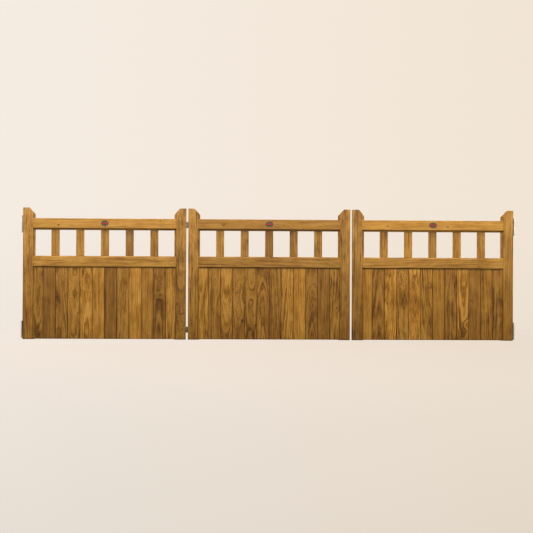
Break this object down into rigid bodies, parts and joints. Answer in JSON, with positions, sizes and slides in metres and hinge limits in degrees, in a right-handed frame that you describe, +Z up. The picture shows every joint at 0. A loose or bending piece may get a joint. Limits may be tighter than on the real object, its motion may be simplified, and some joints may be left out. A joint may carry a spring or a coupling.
{
  "type": "bi-fold driveway gate",
  "caption": "Framed and boarded hardwood driveway gate with open balusters under the top rails; folding leaves hang on one post and meet a leaf hung on the other.",
  "frame": {"origin": "middle of the face by which the lower left jamb plate is screwed to its post", "axes": "+X across the drive from the left post to the right one, +Y inwards to the back of the gate, +Z up"},
  "size_m": [3.717, 0.085, 0.985],
  "materials": {
    "frame_timber": "oiled, satin",
    "board_timber": "oiled, satin",
    "hinge_steel": "galvanised, dull",
    "plaque_metal": "cast, satin"
  },
  "bodies": {
    "root": {"left_lower_jamb_plate": "hinge_steel", "left_upper_jamb_plate": "hinge_steel", "right_lower_jamb_plate": "hinge_steel", "right_upper_jamb_plate": "hinge_steel", "left_jamb_lower_pin": "hinge_steel", "left_jamb_upper_pin": "hinge_steel", "right_jamb_lower_pin": "hinge_steel", "right_jamb_upper_pin": "hinge_steel"},
    "left_leaf": {"left_leaf_left_stile": "frame_timber", "left_leaf_right_stile": "frame_timber", "left_leaf_top_rail": "frame_timber", "left_leaf_middle_rail": "frame_timber", "left_leaf_bottom_rail": "frame_timber", "left_leaf_brace": "frame_timber", "left_leaf_balusters": "frame_timber", "left_leaf_boards": "board_timber", "left_leaf_plaque": "plaque_metal", "left_leaf_lower_jamb_strap": "hinge_steel", "left_leaf_upper_jamb_strap": "hinge_steel", "left_leaf_lower_fold_strap": "hinge_steel", "left_leaf_upper_fold_strap": "hinge_steel", "fold_lower_pin": "hinge_steel", "fold_upper_pin": "hinge_steel"},
    "middle_leaf": {"middle_leaf_left_stile": "frame_timber", "middle_leaf_right_stile": "frame_timber", "middle_leaf_top_rail": "frame_timber", "middle_leaf_middle_rail": "frame_timber", "middle_leaf_bottom_rail": "frame_timber", "middle_leaf_brace": "frame_timber", "middle_leaf_balusters": "frame_timber", "middle_leaf_boards": "board_timber", "middle_leaf_plaque": "plaque_metal", "middle_leaf_lower_fold_strap": "hinge_steel", "middle_leaf_upper_fold_strap": "hinge_steel"},
    "right_leaf": {"right_leaf_left_stile": "frame_timber", "right_leaf_right_stile": "frame_timber", "right_leaf_top_rail": "frame_timber", "right_leaf_middle_rail": "frame_timber", "right_leaf_bottom_rail": "frame_timber", "right_leaf_brace": "frame_timber", "right_leaf_balusters": "frame_timber", "right_leaf_boards": "board_timber", "right_leaf_plaque": "plaque_metal", "right_leaf_lower_jamb_strap": "hinge_steel", "right_leaf_upper_jamb_strap": "hinge_steel"}
  },
  "joints": [
    {"name": "left_leaf_swing", "type": "hinge", "parent": "root", "child": "left_leaf", "pos_m": [0.01, 0.042, 0.395], "axis": [0, 0, 1], "range_deg": [0, 90]},
    {"name": "middle_leaf_fold", "type": "hinge", "parent": "left_leaf", "child": "middle_leaf", "pos_m": [1.2395, 0.042, 0.395], "axis": [0, 0, 1], "range_deg": [0, 180]},
    {"name": "right_leaf_swing", "type": "hinge", "parent": "root", "child": "right_leaf", "pos_m": [3.707, 0.042, 0.395], "axis": [0, 0, -1], "range_deg": [0, 90]}
  ]
}
